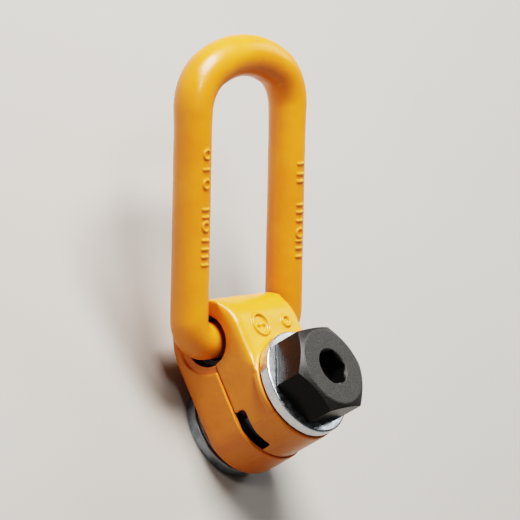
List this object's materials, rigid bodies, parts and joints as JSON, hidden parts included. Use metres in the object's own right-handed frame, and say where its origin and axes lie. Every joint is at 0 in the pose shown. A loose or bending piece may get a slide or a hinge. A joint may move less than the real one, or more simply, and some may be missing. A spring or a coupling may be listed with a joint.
{
  "type": "swivel lifting point",
  "caption": "Bolt-on swivel lifting point: a long round-bar link pivots in a two-shell body that turns on a flanged bush under a hexagon bolt.",
  "frame": {"origin": "on the bolt axis, in the plane where the bush's flange meets the workpiece", "axes": "+Z along the bolt from the workpiece to its head, +Y from the bolt towards the link's pivot, X along the link's pivot"},
  "size_m": [0.0792, 0.1672, 0.1291],
  "materials": {
    "yellow_paint": "gloss orange-yellow powder coat over forged steel",
    "zinc_plate": "bright bluish zinc plate",
    "black_oxide": "satin black oxide",
    "spring_steel": "oiled spring steel"
  },
  "bodies": {
    "base": {"bush": "zinc_plate", "head_washer": "zinc_plate"},
    "swivel_body": {"front_shell": "yellow_paint", "rear_shell": "yellow_paint", "dowel_pin_left": "spring_steel", "dowel_pin_right": "spring_steel"},
    "link": {"link": "yellow_paint"},
    "bolt_keeper": {"bolt_retaining_ring": "spring_steel"},
    "bolt": {"hex_bolt": "black_oxide"}
  },
  "joints": [
    {"name": "body_swivel", "type": "hinge", "parent": "base", "child": "swivel_body", "pos_m": [0, 0, 0.0253], "axis": [0, 0, 1], "continuous": true},
    {"name": "link_pivot", "type": "hinge", "parent": "swivel_body", "child": "link", "pos_m": [0, 0.032, 0.0253], "axis": [1, 0, 0], "range_deg": [-30, 150]},
    {"name": "bolt_lift", "type": "slide", "parent": "base", "child": "bolt_keeper", "axis": [0, 0, 1], "range_m": [0, 0.004]},
    {"name": "bolt_spin", "type": "hinge", "parent": "bolt_keeper", "child": "bolt", "pos_m": [0, 0, 0.05], "axis": [0, 0, 1], "continuous": true}
  ]
}
